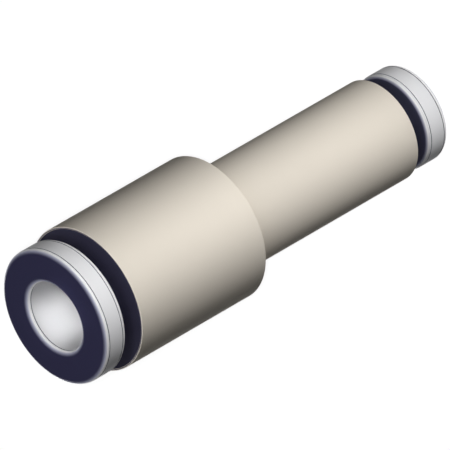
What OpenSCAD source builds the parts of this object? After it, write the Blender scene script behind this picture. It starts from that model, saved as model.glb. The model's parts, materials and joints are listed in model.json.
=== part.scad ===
// Push-fit reducing union: joins a larger and a smaller plastic tube, end to end.
// Each end holds its tube with a slotted collet and a steel claw ring inside a pressed-in guide,
// seals it with a lip seal, and lets it go when the release button is pressed.
// The union stands on its small end. +Z runs along the bore from the small end to the large end,
// and the origin is the centre of the small release button's front face.

/* [Tubes] */
// Outer diameter of the tube in the large end
large_tube_d = 6; // [5.5:0.1:6.6]
// Outer diameter of the tube in the small end
small_tube_d = 4; // [3.6:0.1:4.3]

/* [Body] */
// Outer diameter of the large barrel
large_barrel_d = 12.7; // [12.2:0.1:14]
// Outer diameter of the small barrel
small_barrel_d = 9; // [8.7:0.1:10]
// Length of the large barrel
large_barrel_length = 14.05; // [12:0.05:18]
// Length of the small barrel
small_barrel_length = 19.35; // [15:0.05:24]
// Depth of the large socket, from the barrel's end to the tube stop
large_stop_depth = 13.2; // [11.5:0.1:15]
// Depth of the small socket, from the barrel's end to the tube stop
small_stop_depth = 12.2; // [10.5:0.1:15]
// Diameter of the flow passage behind the large tube stop
large_passage_d = 4; // [3.4:0.1:4.8]
// Diameter of the flow passage behind the small tube stop
small_passage_d = 2.6; // [2:0.1:3.2]
// Length of the cone that joins the two flow passages
passage_cone = 1.4; // [0.6:0.1:2.5]
// Width of the barrel's rim around the guide's flange
rim_width = 0.15; // [0.12:0.01:0.3]
// Radius of the barrel's outer edges
edge_round = 0.08; // [0.04:0.01:0.1]
// Chamfer that leads the tube into its seat
seat_chamfer = 0.3; // [0.1:0.05:0.5]

/* [Release buttons] */
// Diameter of the large button's flange
large_button_d = 11.9; // [10.5:0.1:12.6]
// Diameter of the small button's flange
small_button_d = 8.5; // [7.5:0.1:8.9]
// Thickness of the flange
button_flange = 2.35; // [1.8:0.05:3]
// Gap between the flange and the barrel, which is the room to press the button
button_gap = 1.35; // [0.9:0.05:1.7]
// Radius of the flange's front edge
front_round = 0.4; // [0.2:0.05:0.6]
// Radius of the flange's back edge
back_round = 0.4; // [0.2:0.05:0.6]
// Radius of the bore's mouth
mouth_round = 0.4; // [0.2:0.05:0.6]
// Wall of the button's sleeve
sleeve_wall = 0.42; // [0.34:0.02:0.5]
// Height of the snap hooks above the sleeve
hook_height = 0.22; // [0.14:0.02:0.3]
// Length of the straight land of a snap hook
hook_land = 0.35; // [0.2:0.05:0.5]
// Length of the tapered nose of a snap hook
hook_nose = 0.35; // [0.2:0.05:0.5]
// Slots that let the snap hooks flex
sleeve_slots = 4; // [3:1:6]
// Width of a sleeve slot
sleeve_slot = 0.5; // [0.3:0.05:0.7]
// Length of a sleeve slot
sleeve_slot_length = 1.3; // [0.9:0.05:1.6]

/* [Guides] */
// Depth of the guide's countersunk flange
guide_flange = 0.5; // [0.3:0.05:0.6]
// Length of the lip that holds the snap hooks in
lip_length = 1.2; // [1:0.05:1.6]
// Chamfer of the lip's mouth
lip_chamfer = 0.2; // [0.1:0.05:0.3]
// Rise of the gripping cone in the large guide
large_cone_rise = 0.9; // [0.7:0.05:1.1]
// Rise of the gripping cone in the small guide
small_cone_rise = 0.45; // [0.35:0.05:0.6]
// Length of the gripping cone in the large guide
large_cone_length = 2.2; // [2:0.1:2.8]
// Length of the gripping cone in the small guide
small_cone_length = 1.9; // [1.8:0.1:2.4]
// Wall of the skirt that reaches in to the seal
skirt_wall = 0.3; // [0.2:0.05:0.45]
// Height of the ribs that bite into the socket
press_rib = 0.05; // [0.03:0.01:0.1]
// Number of those ribs
press_ribs = 3; // [2:1:4]
// Distance from one rib to the next
press_rib_pitch = 0.9; // [0.7:0.05:1.2]

/* [Collets and claw rings] */
// Length of the collet's closed ring
ring_length = 0.8; // [0.5:0.05:1.2]
// Length of the thin stems that carry the collet's heads
stem_length = 0.45; // [0.3:0.05:0.5]
// Wall of the stems
stem_wall = 0.32; // [0.24:0.02:0.4]
// Straight land at the inner end of the collet's heads
head_land = 0.35; // [0.2:0.05:0.6]
// Fingers of the large collet
large_fingers = 8; // [6:1:10]
// Fingers of the small collet
small_fingers = 6; // [4:1:8]
// Width of a slot between two fingers
finger_slot = 0.45; // [0.3:0.05:0.6]
// Depth of the pocket that holds the claw ring, outside the tube
claw_pocket = 0.52; // [0.44:0.02:0.56]
// Length of that pocket
claw_pocket_length = 1.25; // [1.05:0.05:1.35]
// Thickness of the claw ring's steel strip
strip = 0.2; // [0.15:0.01:0.24]
// Length of the claw ring's band
band_length = 0.6; // [0.5:0.02:0.62]
// Length of the band that the slots leave closed
band_closed = 0.3; // [0.2:0.05:0.4]
// Angle at which the claws lean in from the bore's direction
claw_lean = 46; // [44:1:56]
// Claws on each collet finger
claws_per_finger = 2; // [1:1:3]
// Width of a slot between two claws
claw_slot = 0.24; // [0.16:0.02:0.3]

/* [Seals] */
// Length of the large lip seal
large_seal_length = 2.4; // [1.9:0.1:2.8]
// Length of the small lip seal
small_seal_length = 2; // [1.6:0.1:2.4]
// Length of the seal's solid heel
seal_heel = 0.9; // [0.6:0.05:1.1]
// Radius of the lips' tips
lip_tip = 0.16; // [0.1:0.01:0.2]
// Width of the heel's relief around the tube
heel_relief = 0.2; // [0.1:0.02:0.3]

/* [Clearances] */
// Radial clearance of the tube in its seat
seat_clearance = 0.05; // [0.03:0.01:0.08]
// Radial clearance of the tube in the button and the collet
tube_clearance = 0.08; // [0.06:0.01:0.12]
// Radial clearance of the sleeve and the collet in the guide
slide_clearance = 0.08; // [0.04:0.01:0.1]
// Radial clearance of the collet's heads from the gripping cone
cone_clearance = 0.06; // [0.03:0.01:0.1]
// End play between two pieces that meet along the bore
end_play = 0.05; // [0.03:0.01:0.1]
// Room that stays free at the end of the button's travel
stop_room = 0.15; // [0.1:0.01:0.25]
// Room between the lips' tips and the floor of the seal's seat
lip_room = 0.12; // [0.05:0.01:0.2]

/* [Hidden] */

// Every size that differs from end to end is a pair: the large end's value, then the small end's.
LARGE = 0;
SMALL = 1;

// How far a cutting shape runs past the face that it cuts
overrun = 1;
facets = 96;

// Radii, from the tube outwards
tube_r = [large_tube_d, small_tube_d] / 2;
barrel_r = [large_barrel_d, small_barrel_d] / 2;
button_r = [large_button_d, small_button_d] / 2;
passage_r = [large_passage_d, small_passage_d] / 2;
cone_rise = [large_cone_rise, small_cone_rise];
function seat_r(end) = tube_r[end] + seat_clearance;
function bore_r(end) = tube_r[end] + tube_clearance;
function sleeve_r(end) = bore_r(end) + sleeve_wall;
function lip_r(end) = sleeve_r(end) + slide_clearance;
function hook_r(end) = sleeve_r(end) + hook_height;
function track_r(end) = hook_r(end) + slide_clearance;
function skirt_r(end) = track_r(end) + cone_rise[end];
function guide_r(end) = skirt_r(end) + skirt_wall;
function socket_r(end) = guide_r(end) + press_rib;
function rim_r(end) = barrel_r[end] - rim_width;
function pocket_r(end) = tube_r[end] + claw_pocket;

// Depths below the barrel's end face, from the mouth inwards
cone_length = [large_cone_length, small_cone_length];
seal_length = [large_seal_length, small_seal_length];
stop_depth = [large_stop_depth, small_stop_depth];
travel = button_gap - stop_room;
hook_top = lip_length + end_play;
hook_end = hook_top + hook_land;
sleeve_end = hook_end + hook_nose;
ring_top = sleeve_end + end_play;
ring_end = ring_top + ring_length;
head_top = ring_end + stem_length;
function cone_end(end) = ring_end + cone_length[end];
function head_end(end) = cone_end(end) + head_land;
function guide_end(end) = head_end(end) + travel + stop_room;
function seal_end(end) = guide_end(end) + seal_length[end];
function head_r(end, depth) =
    track_r(end) - cone_clearance
    + cone_rise[end] * min(1, (depth - ring_end) / cone_length[end]);

// The claw ring's pocket lies in the collet's heads, between two lips of one width
function pocket_top(end) = head_end(end) - head_land - claw_pocket_length;
function pocket_end(end) = head_end(end) - head_land;
function band_top(end) = pocket_top(end) + end_play;
function band_end(end) = band_top(end) + band_length;

// Heights along the bore
small_face = button_flange + button_gap;
shoulder = small_face + small_barrel_length;
large_face = shoulder + large_barrel_length;
large_stop = large_face - large_stop_depth;
small_stop = small_face + small_stop_depth;

fingers = [large_fingers, small_fingers];

body_colour = "#e2dacb";
button_colour = "#e4e4e9";
guide_colour = "#26263d";
collet_colour = "#f2f1ea";
steel_colour = "#b9bcc1";
rubber_colour = "#1c1c1e";

// Puts a port's pieces at its end of the body. In a port's own frame the bore is the Z axis,
// the barrel's end face lies at zero and depths into the body are negative.
module at_port(end) {
    if (end == LARGE)
        translate([0, 0, large_face]) children();
    else
        translate([0, 0, small_face]) rotate([180, 0, 0]) children();
}

module turned() {
    rotate_extrude($fn = facets) children();
}

// A rectangle of the section: from one radius to another, and from one height to another
module band(r_in, r_out, low, high) {
    translate([r_in, low]) square([r_out - r_in, high - low]);
}

// What a round of radius r takes off the corner at (x, y). dx and dy point from the corner
// into the material.
module corner(x, y, r, dx, dy) {
    difference() {
        translate([dx > 0 ? x - overrun : x - r, dy > 0 ? y - overrun : y - r])
            square(r + overrun);
        translate([x + dx * r, y + dy * r]) circle(r, $fn = facets);
    }
}

// Slots of one width, cut from the bore outwards, between two heights
module slots(count, width, reach, low, high) {
    for (i = [0 : count - 1])
        rotate([0, 0, 360 * i / count])
            translate([0, -width / 2, low]) cube([reach, width, high - low]);
}

// The hollow of one port: countersunk seat of the guide's flange, socket, tube seat with its
// lead-in, and the stop, where the flow passage begins
module port_hollow(end) {
    rim = rim_r(end);
    socket = socket_r(end);
    seat = seat_r(end);
    floor = -seal_end(end);
    turned() {
        polygon([
            [0, -guide_flange], [rim - guide_flange, -guide_flange], [rim, 0],
            [rim, overrun], [0, overrun]
        ]);
        band(0, socket, floor, 0);
        polygon([
            [0, floor - seat_chamfer], [seat, floor - seat_chamfer],
            [seat + seat_chamfer, floor], [0, floor]
        ]);
        band(0, seat, -stop_depth[end], floor);
    }
}

module flow_passage() {
    middle = (small_stop + large_stop) / 2;
    large = passage_r[LARGE];
    small = passage_r[SMALL];
    turned() {
        polygon([
            [0, small_stop - overrun], [small, small_stop - overrun],
            [small, middle - passage_cone / 2], [large, middle + passage_cone / 2],
            [large, large_stop + overrun], [0, large_stop + overrun]
        ]);
    }
}

module body() {
    large = barrel_r[LARGE];
    small = barrel_r[SMALL];
    color(body_colour)
        difference() {
            turned() difference() {
                union() {
                    band(0, large, shoulder, large_face);
                    band(0, small, small_face, large_face);
                }
                corner(large, large_face, edge_round, -1, -1);
                corner(large, shoulder, edge_round, -1, 1);
                corner(small, small_face, edge_round, -1, 1);
            }
            at_port(LARGE) port_hollow(LARGE);
            at_port(SMALL) port_hollow(SMALL);
            flow_passage();
        }
}

// Guide, pressed into the socket: its lip holds the button in, its cone squeezes the collet on
// the tube, and its skirt keeps the seal in place
module guide_ring(end) {
    outer = guide_r(end);
    rim = rim_r(end);
    lip = lip_r(end);
    track = track_r(end);
    bottom = -guide_end(end);
    color(guide_colour) at_port(end) turned() {
        difference() {
            union() {
                polygon([
                    [lip, -guide_flange], [rim - guide_flange, -guide_flange], [rim, 0],
                    [lip, 0]
                ]);
                band(lip, outer, bottom, 0);
            }
            polygon([
                [lip - overrun, -lip_chamfer], [lip, -lip_chamfer],
                [lip + lip_chamfer + overrun, overrun], [lip - overrun, overrun]
            ]);
            polygon([
                [lip - overrun, bottom - overrun], [skirt_r(end), bottom - overrun],
                [skirt_r(end), -cone_end(end)], [track, -ring_end], [track, -lip_length],
                [lip - overrun, -lip_length]
            ]);
        }
        for (i = [0 : press_ribs - 1]) {
            crest = -ring_top + (i - (press_ribs - 1) / 2) * press_rib_pitch;
            polygon([
                [outer - press_rib, crest - press_rib_pitch / 2],
                [outer, crest - press_rib_pitch / 2], [socket_r(end), crest],
                [outer - press_rib, crest]
            ]);
        }
    }
}

// Lip seal: a solid heel against the guide's skirt, and two lips that open towards the pressure.
// The inner lip stands as it does around a tube.
module lip_seal(end) {
    tube = tube_r[end];
    socket = socket_r(end);
    heel = -guide_end(end) - seal_heel;
    tips = -seal_end(end) + lip_room + lip_tip;
    middle = (tube + socket) / 2;
    color(rubber_colour) at_port(end) turned() difference() {
        union() {
            band(tube + heel_relief, socket, heel, -guide_end(end));
            polygon([
                [tube, tips], [tube + 2 * lip_tip, tips], [middle, heel],
                [tube + heel_relief, heel]
            ]);
            polygon([
                [socket - 2 * lip_tip, tips], [socket, tips], [socket, heel],
                [middle, heel]
            ]);
            translate([tube + lip_tip, tips]) circle(lip_tip, $fn = facets);
            translate([socket - lip_tip, tips]) circle(lip_tip, $fn = facets);
        }
    }
}

// Collet: a closed ring, thin stems and wedge-shaped heads, slotted from its inner end
module collet(end) {
    bore = bore_r(end);
    stem = bore + stem_wall;
    pocket = pocket_r(end);
    last = head_end(end);
    color(collet_colour) at_port(end) difference() {
        turned() difference() {
            union() {
                band(bore, hook_r(end), -ring_end, -ring_top);
                band(bore, stem, -head_top, -ring_end);
                polygon([
                    [bore, -last], [head_r(end, last), -last],
                    [head_r(end, cone_end(end)), -cone_end(end)],
                    [head_r(end, head_top), -head_top], [bore, -head_top]
                ]);
            }
            band(bore - overrun, pocket, -pocket_end(end), -pocket_top(end));
        }
        slots(fingers[end], finger_slot, socket_r(end), -last - overrun, -ring_end);
    }
}

// Claw ring: a split band of spring steel with claws that lean inwards, away from the mouth.
// The split lets it close with the collet. The claws stand as they do on a tube.
module claw_ring(end) {
    outer = pocket_r(end) - end_play;
    inner = outer - strip;
    tip = tube_r[end];
    bend = -band_end(end);
    outer_bend = bend - strip * tan(claw_lean / 2);
    color(steel_colour) at_port(end) difference() {
        turned() {
            band(inner, outer, bend, -band_top(end));
            polygon([
                [inner, bend], [tip, bend - (inner - tip) / tan(claw_lean)],
                [tip, outer_bend - (outer - tip) / tan(claw_lean)], [outer, outer_bend],
                [outer, bend]
            ]);
        }
        slots(
            fingers[end] * claws_per_finger, claw_slot, socket_r(end),
            -pocket_end(end), -band_top(end) - band_closed
        );
        slots(1, claw_slot, socket_r(end), -pocket_end(end), -pocket_top(end));
    }
}

// Release button: a flange to press, and a slotted sleeve whose hooks snap behind the guide's lip
module release_button(end) {
    bore = bore_r(end);
    sleeve = sleeve_r(end);
    front = button_gap + button_flange;
    color(button_colour) at_port(end) difference() {
        turned() difference() {
            union() {
                band(bore, button_r[end], button_gap, front);
                band(bore, sleeve, -sleeve_end, button_gap);
                polygon([
                    [bore, -sleeve_end], [sleeve, -sleeve_end], [hook_r(end), -hook_end],
                    [hook_r(end), -hook_top], [bore, -hook_top]
                ]);
            }
            corner(button_r[end], front, front_round, -1, -1);
            corner(button_r[end], button_gap, back_round, -1, 1);
            corner(bore, front, mouth_round, 1, -1);
        }
        slots(
            sleeve_slots, sleeve_slot, socket_r(end),
            -sleeve_end - overrun, -sleeve_end + sleeve_slot_length
        );
    }
}

body();
guide_ring(LARGE);  // large_guide_ring
lip_seal(LARGE);  // large_lip_seal
collet(LARGE);  // large_collet
claw_ring(LARGE);  // large_claw_ring
release_button(LARGE);  // large_release_button
guide_ring(SMALL);  // small_guide_ring
lip_seal(SMALL);  // small_lip_seal
collet(SMALL);  // small_collet
claw_ring(SMALL);  // small_claw_ring
release_button(SMALL);  // small_release_button
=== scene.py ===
"""Looks of the push-fit union: its mouldings and finishes, its stage, light and camera."""

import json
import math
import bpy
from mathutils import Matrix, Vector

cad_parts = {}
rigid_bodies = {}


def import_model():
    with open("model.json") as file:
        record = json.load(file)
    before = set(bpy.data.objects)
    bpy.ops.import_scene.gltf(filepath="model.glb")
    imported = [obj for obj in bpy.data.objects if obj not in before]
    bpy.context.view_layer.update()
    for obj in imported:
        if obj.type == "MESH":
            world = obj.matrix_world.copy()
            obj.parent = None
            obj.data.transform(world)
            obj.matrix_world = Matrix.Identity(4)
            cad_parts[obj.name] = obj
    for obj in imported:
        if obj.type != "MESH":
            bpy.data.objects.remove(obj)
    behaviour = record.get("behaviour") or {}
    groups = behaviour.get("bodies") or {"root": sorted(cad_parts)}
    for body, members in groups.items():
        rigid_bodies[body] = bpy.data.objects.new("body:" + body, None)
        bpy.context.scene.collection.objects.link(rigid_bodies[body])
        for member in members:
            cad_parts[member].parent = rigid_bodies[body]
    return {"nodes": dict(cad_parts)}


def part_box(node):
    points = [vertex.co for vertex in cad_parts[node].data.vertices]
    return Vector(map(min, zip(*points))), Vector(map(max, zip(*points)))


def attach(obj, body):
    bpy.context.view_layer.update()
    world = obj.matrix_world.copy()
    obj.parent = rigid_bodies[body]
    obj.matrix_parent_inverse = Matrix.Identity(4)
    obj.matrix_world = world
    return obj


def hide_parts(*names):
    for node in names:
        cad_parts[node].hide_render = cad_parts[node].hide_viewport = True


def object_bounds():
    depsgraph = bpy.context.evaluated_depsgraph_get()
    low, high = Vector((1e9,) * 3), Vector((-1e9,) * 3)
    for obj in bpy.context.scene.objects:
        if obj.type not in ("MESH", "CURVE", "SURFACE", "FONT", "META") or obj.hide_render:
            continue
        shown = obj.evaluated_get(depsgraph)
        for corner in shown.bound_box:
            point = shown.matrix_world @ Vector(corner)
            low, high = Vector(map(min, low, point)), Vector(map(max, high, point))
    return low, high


bl_info = {
    "name": "Push-fit union",
    "version": (1, 0, 0),
    "blender": (4, 5, 0),
    "location": "View3D > Sidebar > Union",
    "description": "Builds the mouldings, the finishes and the stage of a push-fit union",
    "category": "Object",
}

import bpy
import numpy as np
from mathutils import Matrix, Vector

# The file opens on an empty stage, so that only the frame counts as the object.
for left_over in list(bpy.data.objects):
    bpy.data.objects.remove(left_over)

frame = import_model()
CAD_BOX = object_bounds()

MM = 0.001
ENDS = ("large", "small")

# Heights of the barrel's two end faces in millimetres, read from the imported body
SMALL_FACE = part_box("body")[0].z / MM
LARGE_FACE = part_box("body")[1].z / MM

# Points on a rounded corner, columns round a full turn, and columns across a slot
ARC_STEPS = 8
TURN_STEPS = 192
SLOT_STEPS = 4

# Directions whose sine of the turn between them is smaller than this count as parallel
PARALLEL = 1e-9

# Sizes in millimetres that are the same in both ends, as in the part's source
TUBE_CLEARANCE = 0.08
SLIDE_CLEARANCE = 0.08
CONE_CLEARANCE = 0.06
SEAT_CLEARANCE = 0.05
END_PLAY = 0.05
RIM_WIDTH = 0.15
SLEEVE_WALL = 0.42
HOOK_HEIGHT = 0.22
HOOK_LAND = 0.35
HOOK_NOSE = 0.35
SLEEVE_SLOTS = 4
SLEEVE_SLOT = 0.5
SLEEVE_SLOT_LENGTH = 1.3
GUIDE_FLANGE = 0.5
LIP_LENGTH = 1.2
LIP_CHAMFER = 0.2
SKIRT_WALL = 0.3
PRESS_RIB = 0.05
PRESS_RIBS = 3
PRESS_RIB_PITCH = 0.9
RING_LENGTH = 0.8
STEM_LENGTH = 0.45
STEM_WALL = 0.32
HEAD_LAND = 0.35
FINGER_SLOT = 0.45
CLAW_POCKET = 0.52
CLAW_POCKET_LENGTH = 1.25
SEAT_CHAMFER = 0.3
PASSAGE_CONE = 1.4

# Finish: clouds in the colour, in millimetres, with their dimmer share, the fineness of clouds and
# grain, the spread of the roughness, and the share of the colour left where painted shade darkens a
# mould insert's line
CLOUD_SIZE = 4
CLOUD_SHADE = 0.97
CLOUD_DETAIL = 2
GRAIN_DETAIL = 3
GRAIN_CONTRAST = 0.6
GLOSS_SPREAD = 0.04
WITNESS_PAINTED_SHADE = 0.15

# A mould insert's line lies this share of its width beside the round, and its painted shade reaches
# this share of its width from the middle of its floor
WITNESS_OFFSET = 0.6
WITNESS_REACH = 0.4

# The radius of that line's corners, as a share of its depth
WITNESS_MOULD = 0.125

# The barrel's end faces take painted navy shade where their slope is at least this
END_PAINTED_SHADE_SLOPE = 0.99

# A round keeps the buttons' grey up to this turn towards a flat face, as the sine of its slope.
# Past it, painted white highlight and painted lavender shading are full at these shares of the way
# to the painted navy shade of the face.
ROUND_GREY = 0.1
ROUND_PAINTED_HIGHLIGHT = 0.3
ROUND_PAINTED_SHADING = 0.73

# A flange's back round keeps its painted white highlight and lavender shading longer, by this
# power of its flatness, and the painted navy shade of its back face is a little lighter, as painted
# light against the barrel's shade over the gap, because that face counts as no flatter than this
BACK_PAINTED_LIGHT_POWER = 2
BACK_PAINTED_LIGHT_FLATNESS = 0.96

# The least flatness at which a polygon takes the matt finish that carries the painted navy shade
MATT_FLATNESS = 0.999

# Stage and lamps, in millimetres and radians. The camera's clip distances are in metres.
FLOOR_WIDTH = 3000
FLOOR_DROP = 0.01
KEY_HEIGHT = 20
KEY_WIDTH = 6
KEY_SPAN = 180
KEY_TILT = math.radians(6)
BACK_DISTANCE = 120
BACK_TURN = math.radians(12)
BACK_WIDTH = 16
BACK_SPAN = 120
MOUTH_LAMP = (3.8, 3.4)
MOUTH_DISTANCE = 60
MOUTH_DEPTH = 0.4
MOUTH_SPREAD = math.radians(2.5)
MOUTH_TURN = math.radians(6)
TOP_DISTANCE = 300
TOP_WIDTH = 40
SUN_WIDTH = math.radians(1.5)
CLIP_NEAR = 0.1
CLIP_FAR = 5

# Shares of the floor's white that glow and that its own lamp lights, for the camera and mirrors,
# and how much of the light it gives back to the union
FLOOR_GLOW = 0.8
FLOOR_LIT = 0.2
FLOOR_BOUNCE = 0.08
FLOOR_MARGIN = 0.06

UPRIGHT = Vector((0, 0, 1))

# The photograph looks at the union along an isometric line, turned so that the bore runs up to
# the right. It is an even view, so the camera stands far off with a long lens. PHOTO_WIDTH is in
# pixels, and the lens and the sensor are in millimetres.
PHOTO_WIDTH = 450
PIXELS_PER_MM = 12.386
CAMERA_SENSOR = 36
CAMERA_LENS = 1600
CAMERA_AZIMUTH = math.radians(-45)
CAMERA_ELEVATION = math.atan(1 / math.sqrt(2))
CAMERA_ROLL = math.radians(210)
# The picture's centre lies beside the bore's point at this height, this far across the bore
AIM_HEIGHT = 21.68
AIM_ACROSS = 0.405

# Sizes in millimetres that differ from the large end to the small one
CONE_RISE = {"large": 0.9, "small": 0.45}
CONE_LENGTH = {"large": 2.2, "small": 1.9}
SEAL_LENGTH = {"large": 2.4, "small": 2.0}
STOP_DEPTH = {"large": 13.2, "small": 12.2}
PASSAGE = {"large": 4.0, "small": 2.6}
FINGERS = {"large": 8, "small": 6}


def length(name, description, millimetres):
    """A length that a user would change, held in metres"""
    return bpy.props.FloatProperty(
        name=name,
        description=description,
        default=millimetres * MM,
        min=0,
        unit="LENGTH",
        precision=5,
    )


def linear(hex_colour):
    """Linear value of an sRGB hex colour: ((c + 0.055) / 1.055) ** 2.4, or c / 12.92 near black"""
    srgb = np.array([int(hex_colour[i : i + 2], 16) for i in (1, 3, 5)]) / 255
    value = np.where(srgb <= 0.04045, srgb / 12.92, ((srgb + 0.055) / 1.055) ** 2.4)
    return tuple(value.tolist())


def colour(name, description, hex_colour):
    """A colour that a user would change"""
    return bpy.props.FloatVectorProperty(
        name=name,
        description=description,
        default=linear(hex_colour),
        subtype="COLOR",
        size=3,
        min=0,
        max=1,
    )


class UnionSizes(bpy.types.PropertyGroup):
    """Sizes of the union that show from outside"""

    large_tube: length("Large tube", "Outer diameter of the tube in the large end", 6)
    small_tube: length("Small tube", "Outer diameter of the tube in the small end", 4)
    large_barrel: length("Large barrel", "Outer diameter of the large barrel", 12.7)
    small_barrel: length("Small barrel", "Outer diameter of the small barrel", 9)
    small_barrel_length: length("Small barrel length", "Length of the small barrel", 19.35)
    large_button: length("Large button", "Diameter of the large button's flange", 11.9)
    small_button: length("Small button", "Diameter of the small button's flange", 8.5)
    button_flange: length("Flange", "Thickness of the buttons' flanges", 2.35)
    button_gap: length("Gap", "Gap between a flange and the barrel", 1.35)
    front_round: length("Front round", "Radius of the flanges' front edge", 0.4)
    back_round: length("Back round", "Radius of the flanges' back edge", 0.4)
    mouth_round: length("Mouth round", "Radius of the bores' mouth", 0.4)
    barrel_round: length("Barrel round", "Radius of the barrel's outer edges", 0.08)
    mould_round: length("Mould round", "Radius that a mould leaves on a sharp edge", 0.02)
    witness_width: length("Witness width", "Width of the line where a mould insert ends", 0.07)
    witness_depth: length("Witness depth", "Depth of that line", 0.035)


class UnionColours(bpy.types.PropertyGroup):
    """Colours of the union's plastics, steel and rubber, and its painted highlight and shade"""

    barrel: colour("Barrel", "Cream of the barrel's plastic", "#e4dccf")
    button: colour("Button", "Light grey of the buttons' plastic", "#eeeef0")
    # Painted highlight: white on the buttons' rounds, where the light glances off them
    painted_round_highlight: colour("Button round", "White of the buttons' rounds", "#ffffff")
    # Painted shading: lavender between the painted highlight and the painted navy shade
    painted_edge_shading: colour("Button edge", "Lavender beside the buttons' flat faces", "#9fa1b8")
    # Painted shade: navy on the buttons' flat faces, standing in for faces turned from the light
    painted_face_shade: colour("Button face", "Navy of the buttons' flat faces", "#2d2c47")
    # Painted shade: navy on the guides and the barrel's end rims, kept a little lighter as painted
    # light in the gap's shade
    guide: colour("Guide", "Navy of the guides' plastic", "#4d4b64")
    collet: colour("Collet", "White of the collets' plastic", "#f2f1ea")
    steel: colour("Steel", "Bright spring steel of the claw rings", "#b9bcc1")
    rubber: colour("Rubber", "Black of the lip seals", "#1c1c1e")


class UnionLight(bpy.types.PropertyGroup):
    """Strength and place of the studio light"""

    key_power: bpy.props.FloatProperty(
        name="Key power", description="Watts of the key lamp", default=0.0153, min=0, precision=5
    )
    back_power: bpy.props.FloatProperty(
        name="Back power",
        description="Watts of each lamp behind the union",
        default=0.068,
        min=0,
    )
    mouth_power: bpy.props.FloatProperty(
        name="Mouth power",
        description="Watts of the small lamp that shines into the large bore",
        default=0.000032,
        min=0,
        precision=6,
    )
    top_power: bpy.props.FloatProperty(
        name="Top power",
        description="Watts of the lamp above the union, which lights what faces up",
        default=0.32,
        min=0,
    )
    surround: bpy.props.FloatProperty(
        name="Surround", description="Strength of the even light all round", default=0.06, min=0
    )
    key_distance: length("Key distance", "From the union's axis to the key lamp", 19)
    key_turn: bpy.props.FloatProperty(
        name="Key turn",
        description="Angle of the key lamp about the axis, from the camera's side",
        default=math.radians(7.5),
        subtype="ANGLE",
        unit="ROTATION",
    )


class Port:
    """Radii and depths of one end in millimetres, from the tube outwards, as in the part's source.
    Depths are counted from the barrel's end face into the body."""

    def __init__(self, sizes, end):
        self.end = end
        self.tube = getattr(sizes, f"{end}_tube") / MM / 2
        self.barrel = getattr(sizes, f"{end}_barrel") / MM / 2
        self.button = getattr(sizes, f"{end}_button") / MM / 2
        self.passage = PASSAGE[end] / 2
        self.gap = sizes.button_gap / MM
        self.flange = sizes.button_flange / MM
        self.seat = self.tube + SEAT_CLEARANCE
        self.bore = self.tube + TUBE_CLEARANCE
        self.sleeve = self.bore + SLEEVE_WALL
        self.lip = self.sleeve + SLIDE_CLEARANCE
        self.hook = self.sleeve + HOOK_HEIGHT
        self.track = self.hook + SLIDE_CLEARANCE
        self.skirt = self.track + CONE_RISE[end]
        self.guide = self.skirt + SKIRT_WALL
        self.socket = self.guide + PRESS_RIB
        self.rim = self.barrel - RIM_WIDTH
        self.pocket = self.tube + CLAW_POCKET
        self.stem = self.bore + STEM_WALL

        self.hook_top = LIP_LENGTH + END_PLAY
        self.hook_end = self.hook_top + HOOK_LAND
        self.sleeve_end = self.hook_end + HOOK_NOSE
        self.ring_top = self.sleeve_end + END_PLAY
        self.ring_end = self.ring_top + RING_LENGTH
        self.head_top = self.ring_end + STEM_LENGTH
        self.cone_end = self.ring_end + CONE_LENGTH[end]
        self.head_end = self.cone_end + HEAD_LAND
        self.guide_end = self.head_end + self.gap
        self.seal_end = self.guide_end + SEAL_LENGTH[end]
        self.pocket_end = self.head_end - HEAD_LAND
        self.pocket_top = self.pocket_end - CLAW_POCKET_LENGTH

    def head(self, depth):
        """Outer radius of the collet's heads at a depth: it rises evenly down to the cone's end"""
        share = min(1, (depth - self.ring_end) / CONE_LENGTH[self.end])
        return self.track - CONE_CLEARANCE + CONE_RISE[self.end] * share

    def place(self, vectors, moved):
        """Brings points or directions to this end: the small end's take half a turn about X, and
        points then move along the bore to the barrel's end face."""
        large = self.end == "large"
        turned_round = vectors * np.array([1, 1, 1] if large else [1, -1, -1])
        return turned_round + np.array([0, 0, LARGE_FACE if large else SMALL_FACE]) * moved


def unit(vectors):
    """Each vector over its own length, and zero where it has none"""
    size = np.linalg.norm(vectors, axis=-1, keepdims=True)
    return vectors / np.where(size < 1e-12, 1, size)


def rounded(corners):
    """The outline of a section as a run of points, from rows of radius, height and round. Each
    corner becomes an arc whose centre lies on its bisector at round / sin(half its angle), with
    points that go from one tangent to the other in even mixes of the two end directions.
    Returns the points and the directions that point out of the material there."""
    corners = np.asarray(corners, float)
    point, radius = corners[:, :2], corners[:, 2:]
    back = unit(np.roll(point, 1, axis=0) - point)
    ahead = unit(np.roll(point, -1, axis=0) - point)
    turn = back[:, 1:] * ahead[:, :1] - back[:, :1] * ahead[:, 1:]
    bulge = np.where(turn > -PARALLEL, 1.0, -1.0)
    inwards = np.stack([-ahead[:, 1], ahead[:, 0]], axis=1)
    middle = np.where(np.abs(turn) < PARALLEL, inwards, unit(back + ahead))
    half = np.arccos(np.clip((back * ahead).sum(axis=1, keepdims=True), -1, 1)) / 2
    centre = point + middle * radius / np.sin(half)
    reach = radius / np.tan(half)
    plain = (radius == 0) | (np.abs(turn) < PARALLEL)
    first = np.where(plain, -middle, unit(point + back * reach - centre))
    last = np.where(plain, -middle, unit(point + ahead * reach - centre))
    mix = np.linspace(0, 1, ARC_STEPS)[None, :, None]
    way = unit(first[:, None] * (1 - mix) + last[:, None] * mix)
    run = (centre[:, None] + way * radius[:, None]).reshape(-1, 2)
    out = (way * bulge[:, None]).reshape(-1, 2)
    new = np.linalg.norm(run - np.roll(run, 1, axis=0), axis=1) > 1e-6
    return run[new], out[new]


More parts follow.
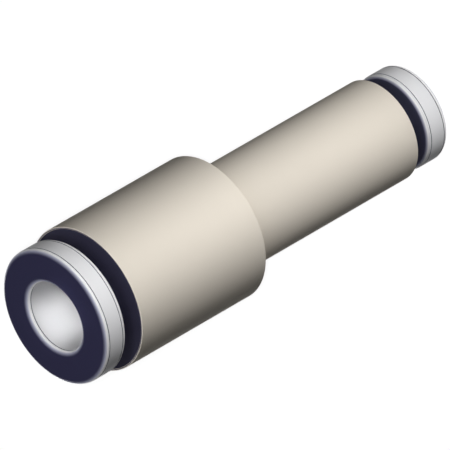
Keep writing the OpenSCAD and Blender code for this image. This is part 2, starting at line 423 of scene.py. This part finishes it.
def columns(radius, slots, width):
    """Angles of the columns at each radius, and which columns start a step across a slot. A slot's
    two edges stand at plus and minus asin(width / 2 / radius) from its middle, so that its walls
    are parallel, and the columns in between are spread evenly."""
    if not slots:
        around = np.arange(TURN_STEPS) * 2 * np.pi / TURN_STEPS
        return np.tile(around, (len(radius), 1)), np.zeros(TURN_STEPS, bool)
    pitch = 2 * np.pi / slots
    across, along = SLOT_STEPS, TURN_STEPS // slots
    edge = np.arcsin(width / 2 / radius)[:, None, None]
    middle = (np.arange(slots) * pitch)[None, :, None]
    slot = middle + edge * np.linspace(-1, 1, across, endpoint=False)[None, None, :]
    share = np.linspace(0, 1, along, endpoint=False)[None, None, :]
    finger = middle + edge + (pitch - 2 * edge) * share
    angle = np.concatenate([slot, finger], axis=2)
    inside = np.tile(np.arange(across + along) < across, slots)
    return angle.reshape(len(radius), -1), inside


def turned(name, place, corners, slots=0, width=0, slotted=0):
    """A piece turned about the bore: every point of the section's outline goes round at its
    radius r as (r cos a, r sin a, z). Where it has slots, the outline from the first corner to
    the one that slotted counts is left out of the steps across a slot, and a wall between those
    two corners and the cut sections on either side close the piece. Returns the piece with its
    vertices' section points and directions, a row each."""
    run, out = rounded(corners)
    angle, inside = columns(run[:, 0], slots, width)
    rows, count = angle.shape
    shape = (rows, count, 2)
    ring = np.stack([np.cos(angle), np.sin(angle)], axis=2)
    section = np.broadcast_to(run[:, None], shape).reshape(-1, 2)
    slope = np.broadcast_to(out[:, None], shape).reshape(-1, 2)
    ring = ring.reshape(-1, 2)
    points = np.concatenate([ring * section[:, :1], section[:, 1:]], axis=1)
    normals = np.concatenate([ring * slope[:, :1], slope[:, 1:]], axis=1)

    row, column = np.meshgrid(np.arange(rows), np.arange(count), indexing="ij")
    below, beside = (row + 1) % rows, (column + 1) % count
    quads = np.stack([row, row, below, below], axis=2) * count
    quads += np.stack([column, beside, beside, column], axis=2)
    keep = np.ones((rows, count), bool)
    walls, ways = [], np.zeros((0, 3))
    if slots:
        last = int(np.argmin(np.abs(run - corners[slotted - 1][:2]).sum(axis=1)))
        keep[:last, inside] = False
        starts = np.flatnonzero(inside)
        ends = (starts + 1) % count
        floor = np.stack([starts, ends, last * count + ends, last * count + starts], axis=1)
        before = np.flatnonzero(inside & ~np.roll(inside, 1))[:, None]
        after = np.flatnonzero(~inside & np.roll(inside, 1))[:, None]
        cut = np.arange(last + 1)[None, :] * count
        walls = floor.tolist() + (cut[:, ::-1] + before).tolist() + (cut + after).tolist()
        middle = np.arange(slots) * 2 * np.pi / slots
        side = np.stack([-np.sin(middle), np.cos(middle), middle * 0], axis=1)
        down = np.tile([0.0, 0.0, -1.0], (len(floor), 1))
        ways = place(np.concatenate([down, side, -side]), False)
    quads = quads[keep]

    used = np.zeros(rows * count, bool)
    used[quads] = True
    used[[corner for wall in walls for corner in wall]] = True
    number = np.cumsum(used) - 1
    normals = place(normals, False)
    sizes = [len(wall) for wall in walls]
    corner_normals = np.concatenate([normals[quads].reshape(-1, 3), np.repeat(ways, sizes, axis=0)])

    mesh = bpy.data.meshes.new(name)
    faces = number[quads].tolist() + [number[wall].tolist() for wall in walls]
    mesh.from_pydata((place(points, True)[used] * MM).tolist(), [], faces)
    mesh.polygons.foreach_set("use_smooth", np.ones(len(mesh.polygons), bool))
    mesh.normals_split_custom_set(corner_normals.tolist())
    piece = bpy.data.objects.new(name, mesh)
    bpy.context.scene.collection.objects.link(piece)
    return piece, section[used], slope[used]


def body_corners(sizes):
    """Corners of the body's section, from the small end's rim up the outside and down the bore"""
    large, small = Port(sizes, "large"), Port(sizes, "small")
    edge, mould = sizes.barrel_round / MM, sizes.mould_round / MM
    up, down = LARGE_FACE, SMALL_FACE
    shoulder = down + sizes.small_barrel_length / MM
    middle = (down + STOP_DEPTH["small"] + up - STOP_DEPTH["large"]) / 2
    outside = [
        (small.barrel, down, edge),
        (small.barrel, shoulder, mould),
        (large.barrel, shoulder, edge),
        (large.barrel, up, edge),
    ]
    large_port = [
        (large.rim, up, mould),
        (large.rim - GUIDE_FLANGE, up - GUIDE_FLANGE, mould),
        (large.socket, up - GUIDE_FLANGE, mould),
        (large.socket, up - large.seal_end, mould),
        (large.seat + SEAT_CHAMFER, up - large.seal_end, mould),
        (large.seat, up - large.seal_end - SEAT_CHAMFER, mould),
        (large.seat, up - STOP_DEPTH["large"], mould),
        (large.passage, up - STOP_DEPTH["large"], mould),
        (large.passage, middle + PASSAGE_CONE / 2, mould),
    ]
    small_port = [
        (small.passage, middle - PASSAGE_CONE / 2, mould),
        (small.passage, down + STOP_DEPTH["small"], mould),
        (small.seat, down + STOP_DEPTH["small"], mould),
        (small.seat, down + small.seal_end + SEAT_CHAMFER, mould),
        (small.seat + SEAT_CHAMFER, down + small.seal_end, mould),
        (small.socket, down + small.seal_end, mould),
        (small.socket, down + GUIDE_FLANGE, mould),
        (small.rim - GUIDE_FLANGE, down + GUIDE_FLANGE, mould),
        (small.rim, down, mould),
    ]
    return outside + large_port + small_port


def guide_corners(port, mould):
    """Corners of a guide ring's section: its skirt, the ribs that bite into the socket, the
    countersunk flange, and the lip, track and cone of its inside"""
    ribs = []
    for crest in -port.ring_top + PRESS_RIB_PITCH * (np.arange(PRESS_RIBS) - (PRESS_RIBS - 1) / 2):
        ribs += [
            (port.guide, crest - PRESS_RIB_PITCH / 2, mould / 4),
            (port.socket, crest, mould / 4),
            (port.guide, crest, mould / 4),
        ]
    flange = [
        (port.guide, -GUIDE_FLANGE, mould),
        (port.rim - GUIDE_FLANGE, -GUIDE_FLANGE, mould),
        (port.rim, 0, mould),
        (port.lip + LIP_CHAMFER, 0, mould),
        (port.lip, -LIP_CHAMFER, mould),
    ]
    inside = [
        (port.lip, -LIP_LENGTH, mould),
        (port.track, -LIP_LENGTH, mould),
        (port.track, -port.ring_end, mould),
        (port.skirt, -port.cone_end, mould),
        (port.skirt, -port.guide_end, mould),
    ]
    return [(port.guide, -port.guide_end, mould)] + ribs + flange + inside


def collet_corners(port, mould):
    """Corners of a collet's section: the fingers' stems and heads first, then the closed ring"""
    fingers = [
        (port.bore, -port.ring_end, 0),
        (port.bore, -port.pocket_top, mould),
        (port.pocket, -port.pocket_top, mould),
        (port.pocket, -port.pocket_end, mould),
        (port.bore, -port.pocket_end, mould),
        (port.bore, -port.head_end, mould),
        (port.head(port.head_end), -port.head_end, mould),
        (port.head(port.cone_end), -port.cone_end, mould),
        (port.head(port.head_top), -port.head_top, mould),
        (port.stem, -port.head_top, mould),
        (port.stem, -port.ring_end - 2 * mould, 0),
    ]
    ring = [
        (port.stem, -port.ring_end, mould),
        (port.hook, -port.ring_end, mould),
        (port.hook, -port.ring_top, mould),
        (port.bore, -port.ring_top, mould),
    ]
    return fingers, ring


def witness(radius, height, width, depth, rise):
    """A fine flat groove in a round wall, where a mould insert ends. rise is 1 where the section's
    outline climbs that wall and -1 where it comes down."""
    mould = depth * WITNESS_MOULD
    return [
        (radius, height - rise * width / 2, mould),
        (radius - rise * depth, height - rise * width / 4, mould),
        (radius - rise * depth, height + rise * width / 4, mould),
        (radius, height + rise * width / 2, mould),
    ]


def button_corners(port, sizes):
    """Corners of a button's section: the slotted sleeve with its snap hooks first, then the
    flange with its rounds and the grooves beside them. Also the middles of the grooves' floors."""
    mould = sizes.mould_round / MM
    width, depth = sizes.witness_width / MM, sizes.witness_depth / MM
    front = port.gap + port.flange
    top, bottom = sizes.front_round / MM, sizes.back_round / MM
    mouth = sizes.mouth_round / MM
    limit = SLEEVE_SLOT_LENGTH - port.sleeve_end
    sleeve = [
        (port.bore, limit, 0),
        (port.bore, -port.sleeve_end, mould),
        (port.sleeve, -port.sleeve_end, mould),
        (port.hook, -port.hook_end, mould),
        (port.hook, -port.hook_top, mould),
        (port.sleeve, -port.hook_top, mould),
        (port.sleeve, limit, 0),
    ]
    beside = width * WITNESS_OFFSET
    places = [
        (port.button, port.gap + bottom + beside, 1),
        (port.button, front - top - beside, 1),
        (port.bore, front - mouth - beside, -1),
    ]
    grooves = [witness(radius, height, width, depth, rise) for radius, height, rise in places]
    flange = [(port.sleeve, port.gap, mould), (port.button, port.gap, bottom)]
    flange += grooves[0] + grooves[1]
    flange += [(port.button, front, top), (port.bore, front, mouth)] + grooves[2]
    floors = [(radius - rise * depth, height) for radius, height, rise in places]
    return sleeve, flange, floors


def add(tree, kind, values=None, links=None, **settings):
    """Adds a node: settings are its own choices, values fill its sockets and links join them"""
    node = tree.nodes.new(kind)
    for name, value in settings.items():
        setattr(node, name, value)
    for socket, value in (values or {}).items():
        node.inputs[socket].default_value = value
    for socket, source in (links or {}).items():
        tree.links.new(source, node.inputs[socket])
    return node


def finished(name, tint, finish, roughness, grain, relief, faces=()):
    """A moulded or stamped material: soft clouds a few millimetres across in its colour, and the
    fine grain of its surface. finish sets the shader's own sockets, grain and relief are in
    millimetres, and faces are the painted highlight and shade colours that the flatness attribute
    brings in, each with the flatness at which it is full. Where there are faces, the witness
    attribute marks a line of painted shade."""
    material = bpy.data.materials.new(name)
    material.use_nodes = True
    tree = material.node_tree
    tree.nodes.clear()
    place = add(tree, "ShaderNodeTexCoord").outputs["Object"]
    clouds = add(
        tree,
        "ShaderNodeTexNoise",
        {"Scale": 1 / (CLOUD_SIZE * MM), "Detail": CLOUD_DETAIL},
        {"Vector": place},
    ).outputs["Fac"]
    speckle = add(
        tree,
        "ShaderNodeTexNoise",
        {"Scale": 1 / (grain * MM), "Detail": GRAIN_DETAIL, "Roughness": GRAIN_CONTRAST},
        {"Vector": place},
    ).outputs["Fac"]
    dim = tuple(c * CLOUD_SHADE for c in tint)
    base = add(
        tree,
        "ShaderNodeMix",
        {6: (*dim, 1), 7: (*tint, 1)},
        {0: clouds},
        data_type="RGBA",
    ).outputs[2]
    # Painted light and shade: the flatness attribute mixes in the faces' painted colours
    if faces:
        flatness = add(tree, "ShaderNodeAttribute", attribute_name="flatness").outputs["Fac"]
        start = 0
        for flat, face in faces:
            share = add(
                tree, "ShaderNodeMapRange", {"From Min": start, "From Max": flat}, {0: flatness}
            ).outputs["Result"]
            base = add(
                tree, "ShaderNodeMix", {7: (*face, 1)}, {0: share, 6: base}, data_type="RGBA"
            ).outputs[2]
            start = flat
        # Painted shade: the witness attribute darkens the colour in a mould insert's groove
        line = add(tree, "ShaderNodeAttribute", attribute_name="witness").outputs["Fac"]
        grey = tuple(c * WITNESS_PAINTED_SHADE for c in tint)
        base = add(
            tree, "ShaderNodeMix", {7: (*grey, 1)}, {0: line, 6: base}, data_type="RGBA"
        ).outputs[2]
    gloss = add(
        tree,
        "ShaderNodeMapRange",
        {"To Min": roughness - GLOSS_SPREAD, "To Max": roughness + GLOSS_SPREAD},
        {"Value": speckle},
    ).outputs["Result"]
    bump = add(
        tree, "ShaderNodeBump", {"Distance": relief * MM, "Strength": 1}, {"Height": speckle}
    ).outputs["Normal"]
    shader = add(
        tree,
        "ShaderNodeBsdfPrincipled",
        finish,
        {"Base Color": base, "Roughness": gloss, "Normal": bump},
    )
    add(tree, "ShaderNodeOutputMaterial", links={"Surface": shader.outputs["BSDF"]})
    return material


def finish_piece(piece, material, body, node):
    """Gives a new piece its material, sets it on its body, and puts it in place of its node"""
    piece.data.materials.append(material)
    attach(piece, body)
    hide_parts(node)


def write_attribute(mesh, name, values):
    """One number for every vertex"""
    mesh.attributes.new(name, "FLOAT", "POINT").data.foreach_set("value", values)


def in_place(vectors, moved):
    """The body's section is written in the part's own frame, so nothing moves"""
    return vectors


class UNION_OT_body(bpy.types.Operator):
    """Moulds the cream body with both barrels, both sockets and the flow passage"""

    bl_idname = "union.body"
    bl_label = "Body"

    def execute(self, context):
        sizes, colours = context.scene.union_sizes, context.scene.union_colours
        # PBT, injection moulded: a dull cream with a soft sheen and hardly any mirror
        cream = finished(
            "Moulded PBT, cream",
            colours.barrel,
            {"IOR": 1.56, "Specular IOR Level": 0.01},
            roughness=0.55,
            grain=0.16,
            relief=0.002,
            # Painted shade: the end faces' rims take the guides' navy
            faces=((1.0, colours.guide),),
        )
        piece, section, slope = turned("body_moulding", in_place, body_corners(sizes))
        end_face = np.abs(section[:, 1] - (SMALL_FACE + LARGE_FACE) / 2)
        rim = end_face > (LARGE_FACE - SMALL_FACE) / 2 - sizes.mould_round / MM / 2
        # Painted shade mask: the flat end faces at the rims
        navy = rim & (np.abs(slope[:, 1]) > END_PAINTED_SHADE_SLOPE)
        write_attribute(piece.data, "flatness", navy.astype(float))
        finish_piece(piece, cream, "housing", "body")
        return {"FINISHED"}


class UNION_OT_guide_rings(bpy.types.Operator):
    """Moulds the two guide rings that are pressed into the sockets, in painted navy shade"""

    bl_idname = "union.guide_rings"
    bl_label = "Guide rings"

    def execute(self, context):
        sizes, colours = context.scene.union_sizes, context.scene.union_colours
        # Acetal, injection moulded: satin and slippery. Its navy is painted shade, a little lighter
        # as painted light where the guides lie in the gap's shade
        navy = finished(
            "Moulded acetal, painted navy shade",
            colours.guide,
            {"IOR": 1.48, "Specular IOR Level": 0.01},
            roughness=0.6,
            grain=0.14,
            relief=0.002,
        )
        for end in ENDS:
            port = Port(sizes, end)
            corners = guide_corners(port, sizes.mould_round / MM)
            piece, _, _ = turned(f"{end}_guide_moulding", port.place, corners)
            finish_piece(piece, navy, "housing", f"{end}_guide_ring")
        return {"FINISHED"}


class UNION_OT_release_buttons(bpy.types.Operator):
    """Moulds the two release buttons, with their slotted sleeves and snap hooks"""

    bl_idname = "union.release_buttons"
    bl_label = "Release buttons"

    def execute(self, context):
        sizes, colours = context.scene.union_sizes, context.scene.union_colours
        faces = (
            (ROUND_PAINTED_HIGHLIGHT, colours.painted_round_highlight),
            (ROUND_PAINTED_SHADING, colours.painted_edge_shading),
            (1.0, colours.painted_face_shade),
        )
        # Acetal, injection moulded in a polished mould: light grey with a soft sheen. Its rounds go
        # over a painted white highlight and painted lavender shading to the painted navy shade of
        # its flat faces
        grey = finished(
            "Moulded acetal, light grey",
            colours.button,
            {"IOR": 1.48, "Specular IOR Level": 0.01},
            roughness=0.3,
            grain=0.2,
            relief=0.001,
            faces=faces,
        )
        # The same acetal, left matt on the flat faces, which carry the painted navy shade
        flat = finished(
            "Matt acetal, painted navy shade",
            colours.button,
            {"IOR": 1.48, "Specular IOR Level": 0.02},
            roughness=0.7,
            grain=0.2,
            relief=0.001,
            faces=faces,
        )
        for end in ENDS:
            port = Port(sizes, end)
            sleeve, flange, grooves = button_corners(port, sizes)
            piece, section, slope = turned(
                f"{end}_button_moulding",
                port.place,
                sleeve + flange,
                SLEEVE_SLOTS,
                SLEEVE_SLOT,
                len(sleeve),
            )
            # Painted light and shade: flatness picks the painted highlight, shading and navy shade
            flatness = np.clip((np.abs(slope[:, 1]) - ROUND_GREY) / (1 - ROUND_GREY), 0, 1)
            # Painted light on the back half of the flange, which lies in the barrel's shade
            back_painted_light = np.minimum(flatness**BACK_PAINTED_LIGHT_POWER, BACK_PAINTED_LIGHT_FLATNESS)
            flatness = np.where(section[:, 1] < port.gap + port.flange / 2, back_painted_light, flatness)
            flatness *= section[:, 1] > port.gap - MM
            write_attribute(piece.data, "flatness", flatness)
            # Painted shade: the witness attribute marks the grooves' floors, which are darkened
            offset = section[:, None] - np.array(grooves)[None]
            reach = sizes.witness_width / MM * WITNESS_REACH
            near = np.linalg.norm(offset, axis=2).min(axis=1) < reach
            write_attribute(piece.data, "witness", near.astype(float))
            finish_piece(piece, grey, f"{end}_button", f"{end}_release_button")
            piece.data.materials.append(flat)
            starts = np.zeros(len(piece.data.polygons), np.int32)
            piece.data.polygons.foreach_get("loop_start", starts)
            corners = np.zeros(len(piece.data.loops), np.int32)
            piece.data.loops.foreach_get("vertex_index", corners)
            # The flattest polygons, in painted navy shade, take the matt finish
            lowest = np.minimum.reduceat(flatness[corners], starts)
            matt = (lowest > MATT_FLATNESS).astype(np.int32)
            piece.data.polygons.foreach_set("material_index", matt)
        return {"FINISHED"}


class UNION_OT_collets(bpy.types.Operator):
    """Moulds the two collets, with their ring, stems and slotted heads"""

    bl_idname = "union.collets"
    bl_label = "Collets"

    def execute(self, context):
        sizes, colours = context.scene.union_sizes, context.scene.union_colours
        # Natural acetal, injection moulded: waxy white with a satin skin
        white = finished(
            "Moulded acetal, natural",
            colours.collet,
            {"IOR": 1.48, "Specular IOR Level": 0.4},
            roughness=0.42,
            grain=0.14,
            relief=0.001,
        )
        for end in ENDS:
            port = Port(sizes, end)
            fingers, ring = collet_corners(port, sizes.mould_round / MM)
            piece, _, _ = turned(
                f"{end}_collet_moulding",
                port.place,
                fingers + ring,
                FINGERS[end],
                FINGER_SLOT,
                len(fingers),
            )
            finish_piece(piece, white, f"{end}_gripper", f"{end}_collet")
        return {"FINISHED"}


class UNION_OT_claw_rings(bpy.types.Operator):
    """Finishes the two claw rings of the frame as stamped spring steel"""

    bl_idname = "union.claw_rings"
    bl_label = "Claw rings"

    def execute(self, context):
        colours = context.scene.union_colours
        # Stainless spring steel, stamped and tumbled: bright, with fine marks round the band
        steel = finished(
            "Stamped spring steel",
            colours.steel,
            {"Metallic": 1.0},
            roughness=0.28,
            grain=0.06,
            relief=0.001,
        )
        for end in ENDS:
            frame["nodes"][f"{end}_claw_ring"].data.materials[0] = steel
        return {"FINISHED"}


class UNION_OT_seals(bpy.types.Operator):
    """Finishes the two lip seals of the frame as moulded nitrile rubber"""

    bl_idname = "union.seals"
    bl_label = "Lip seals"

    def execute(self, context):
        colours = context.scene.union_colours
        # Nitrile rubber, moulded: near black and dull, with a faint bloom
        rubber = finished(
            "Moulded nitrile rubber",
            colours.rubber,
            {"IOR": 1.52, "Specular IOR Level": 0.4},
            roughness=0.62,
            grain=0.09,
            relief=0.003,
        )
        for end in ENDS:
            frame["nodes"][f"{end}_lip_seal"].data.materials[0] = rubber
        return {"FINISHED"}


def level(azimuth, elevation=0):
    """The direction at that azimuth and elevation"""
    flat = math.cos(elevation)
    return Vector((flat * math.cos(azimuth), flat * math.sin(azimuth), math.sin(elevation)))


def stand_at(name, data, out, place=Vector()):
    """Puts a lamp at a place in millimetres, where it shines against the direction out and its
    width lies level"""
    stand = bpy.data.objects.new(name, data)
    stand.location = place * MM
    stand.rotation_mode = "QUATERNION"
    stand.rotation_quaternion = out.to_track_quat("Z", "Y")
    bpy.context.scene.collection.objects.link(stand)
    return stand


def soft_lamp(name, out, place, size, power):
    """A rectangular lamp of that width and height in millimetres, which isn't seen itself"""
    lamp = bpy.data.lights.new(name, "AREA")
    lamp.shape = "RECTANGLE"
    lamp.size, lamp.size_y = (side * MM for side in size)
    lamp.energy = power
    stand = stand_at(name, lamp, out, place)
    stand.visible_camera = False
    return stand


def shines_only_on(stand, pieces, clear_floor=True):
    """Keeps a lamp's light to some pieces. With a clear floor only they cast its shadows, so that
    the lamp may reach below the floor, as if the union stood on glass."""
    group = bpy.data.collections.new(f"{stand.name}_pieces")
    for piece in pieces:
        group.objects.link(piece)
    stand.light_linking.receiver_collection = group
    if clear_floor:
        stand.light_linking.blocker_collection = group


def seen_ray(tree):
    """1 for camera, glossy and transmission rays, which show a surface as it looks, and 0 for the
    rays that carry light from it"""
    ray = add(tree, "ShaderNodeLightPath").outputs
    seen = add(
        tree,
        "ShaderNodeMath",
        links={0: ray["Is Camera Ray"], 1: ray["Is Glossy Ray"]},
        operation="MAXIMUM",
    ).outputs[0]
    return add(
        tree,
        "ShaderNodeMath",
        links={0: seen, 1: ray["Is Transmission Ray"]},
        operation="MAXIMUM",
    ).outputs[0]


def white_world(surround):
    """A world that looks white and gives off only a little even light"""
    world = bpy.data.worlds.new("White studio")
    world.use_nodes = True
    tree = world.node_tree
    tree.nodes.clear()
    strength = add(
        tree,
        "ShaderNodeMapRange",
        {"To Min": surround, "To Max": 1.0},
        {"Value": seen_ray(tree)},
    ).outputs["Result"]
    sky = add(tree, "ShaderNodeBackground", {"Color": (1, 1, 1, 1)}, {"Strength": strength})
    add(tree, "ShaderNodeOutputWorld", links={"Surface": sky.outputs[0]})
    bpy.context.scene.world = world


def white_floor():
    """The floor that the union stands on, which looks white and keeps the union's shadow. It lies
    a hair below the small button's face, so that the two planes don't flicker into each other."""
    half, under = FLOOR_WIDTH * MM / 2, -FLOOR_DROP * MM
    mesh = bpy.data.meshes.new("floor")
    rim = [(-half, -half, under), (half, -half, under), (half, half, under), (-half, half, under)]
    mesh.from_pydata(rim, [], [(0, 1, 2, 3)])
    floor = bpy.data.objects.new("floor", mesh)
    bpy.context.scene.collection.objects.link(floor)
    # White painted board, matt: part of its white glows, and part is lit by its own lamp
    paint = bpy.data.materials.new("White painted board")
    paint.use_nodes = True
    tree = paint.node_tree
    tree.nodes.clear()
    eye = seen_ray(tree)
    tone = add(
        tree,
        "ShaderNodeMapRange",
        {"To Min": FLOOR_BOUNCE, "To Max": FLOOR_LIT},
        {"Value": eye},
    ).outputs["Result"]
    glow = add(
        tree, "ShaderNodeMapRange", {"To Min": 0.0, "To Max": FLOOR_GLOW}, {"Value": eye}
    ).outputs["Result"]
    matt = add(tree, "ShaderNodeBsdfDiffuse", links={"Color": tone})
    shine = add(tree, "ShaderNodeEmission", links={"Strength": glow})
    both = add(tree, "ShaderNodeAddShader", links={0: matt.outputs[0], 1: shine.outputs[0]})
    add(tree, "ShaderNodeOutputMaterial", links={"Surface": both.outputs[0]})
    mesh.materials.append(paint)
    return floor


def union_lamps(light, pieces):
    """The lamps of the union: a tall strip close by on the camera's side, two dimmer ones behind,
    a lamp above for what faces up, and a narrow beam into the large bore"""
    azimuth = CAMERA_AZIMUTH + light.key_turn
    key = soft_lamp(
        "key",
        level(azimuth, -KEY_TILT),
        level(azimuth) * light.key_distance / MM + UPRIGHT * KEY_HEIGHT,
        (KEY_WIDTH, KEY_SPAN),
        light.key_power,
    )
    shines_only_on(key, pieces)
    for side, turn in (("left", -BACK_TURN), ("right", BACK_TURN)):
        behind = level(CAMERA_AZIMUTH + math.pi + turn)
        back = soft_lamp(
            f"back_{side}",
            behind,
            behind * BACK_DISTANCE + UPRIGHT * (SMALL_FACE + LARGE_FACE) / 2,
            (BACK_WIDTH, BACK_SPAN),
            light.back_power,
        )
        shines_only_on(back, pieces)
    top = soft_lamp(
        "top",
        UPRIGHT,
        UPRIGHT * (CAD_BOX[1].z / MM + TOP_DISTANCE),
        (TOP_WIDTH, TOP_WIDTH),
        light.top_power,
    )
    shines_only_on(top, [piece for piece in pieces if "guide" not in piece.name])
    out = level(CAMERA_AZIMUTH + MOUTH_TURN, CAMERA_ELEVATION)
    mouth = soft_lamp(
        "mouth",
        out,
        UPRIGHT * (CAD_BOX[1].z / MM - MOUTH_DEPTH) + out * MOUTH_DISTANCE,
        MOUTH_LAMP,
        light.mouth_power,
    )
    mouth.data.spread = MOUTH_SPREAD


def floor_lamp(surround, floor):
    """A sun for the floor alone, from the camera's direction, so that the union hides its own
    shadow. Its irradiance on the floor is pi x (1 + margin - surround), which renders white."""
    sun = bpy.data.lights.new("floor_sun", "SUN")
    sun.angle = SUN_WIDTH
    sun.energy = math.pi * (1 + FLOOR_MARGIN - surround) / math.sin(CAMERA_ELEVATION)
    stand = stand_at("floor_sun", sun, level(CAMERA_AZIMUTH, CAMERA_ELEVATION))
    shines_only_on(stand, [floor], clear_floor=False)


def photograph_camera():
    """The photograph's camera. Its distance comes from the lens and the width that it takes in:
    distance = width x lens / sensor."""
    lens = bpy.data.cameras.new("photograph")
    lens.sensor_width = CAMERA_SENSOR
    lens.lens = CAMERA_LENS
    lens.clip_start = CLIP_NEAR
    lens.clip_end = CLIP_FAR
    back = level(CAMERA_AZIMUTH, CAMERA_ELEVATION)
    along = (UPRIGHT - back * back.z).normalized()
    across = back.cross(along)
    aside = math.cos(CAMERA_ROLL) * along - math.sin(CAMERA_ROLL) * across
    up = math.sin(CAMERA_ROLL) * along + math.cos(CAMERA_ROLL) * across
    distance = PHOTO_WIDTH / PIXELS_PER_MM * CAMERA_LENS / CAMERA_SENSOR
    aim = AIM_HEIGHT * UPRIGHT + AIM_ACROSS * across
    camera = bpy.data.objects.new("photograph", lens)
    turn = Matrix((aside, up, back)).transposed().to_4x4()
    camera.matrix_world = Matrix.Translation((aim + back * distance) * MM) @ turn
    bpy.context.scene.collection.objects.link(camera)
    bpy.context.scene.camera = camera


class UNION_OT_stage(bpy.types.Operator):
    """Sets the white stage, the floor, the lamps and the camera of the photograph"""

    bl_idname = "union.stage"
    bl_label = "Stage"

    def execute(self, context):
        light = context.scene.union_light
        context.scene.view_settings.view_transform = "Standard"
        pieces = [piece for piece in context.scene.objects if piece.type == "MESH"]
        white_world(light.surround)
        floor = white_floor()
        union_lamps(light, pieces)
        floor_lamp(light.surround, floor)
        photograph_camera()
        return {"FINISHED"}


STEPS = (
    UNION_OT_body,
    UNION_OT_guide_rings,
    UNION_OT_release_buttons,
    UNION_OT_collets,
    UNION_OT_claw_rings,
    UNION_OT_seals,
    UNION_OT_stage,
)


class UNION_PT_panel(bpy.types.Panel):
    """Lists the union's steps, sizes, colours and light"""

    bl_label = "Push-fit union"
    bl_idname = "UNION_PT_panel"
    bl_space_type = "VIEW_3D"
    bl_region_type = "UI"
    bl_category = "Union"

    def draw(self, context):
        for step in STEPS:
            self.layout.operator(step.bl_idname)
        scene = context.scene
        for group in (scene.union_sizes, scene.union_colours, scene.union_light):
            box = self.layout.box()
            for name in group.bl_rna.properties.keys():
                if name not in ("rna_type", "name"):
                    box.prop(group, name)


GROUPS = {
    "union_sizes": UnionSizes,
    "union_colours": UnionColours,
    "union_light": UnionLight,
}


def register():
    """Adds the properties, the steps and the panel"""
    for name, group in GROUPS.items():
        bpy.utils.register_class(group)
        setattr(bpy.types.Scene, name, bpy.props.PointerProperty(type=group))
    for step in STEPS:
        bpy.utils.register_class(step)
    bpy.utils.register_class(UNION_PT_panel)


def unregister():
    """Takes away what register adds"""
    bpy.utils.unregister_class(UNION_PT_panel)
    for step in reversed(STEPS):
        bpy.utils.unregister_class(step)
    for name, group in GROUPS.items():
        delattr(bpy.types.Scene, name)
        bpy.utils.unregister_class(group)


def main():
    """Builds everything in order"""
    register()
    bpy.ops.union.body()
    bpy.ops.union.guide_rings()
    bpy.ops.union.release_buttons()
    bpy.ops.union.collets()
    bpy.ops.union.claw_rings()
    bpy.ops.union.seals()
    bpy.ops.union.stage()


if __name__ == "__main__":
    main()
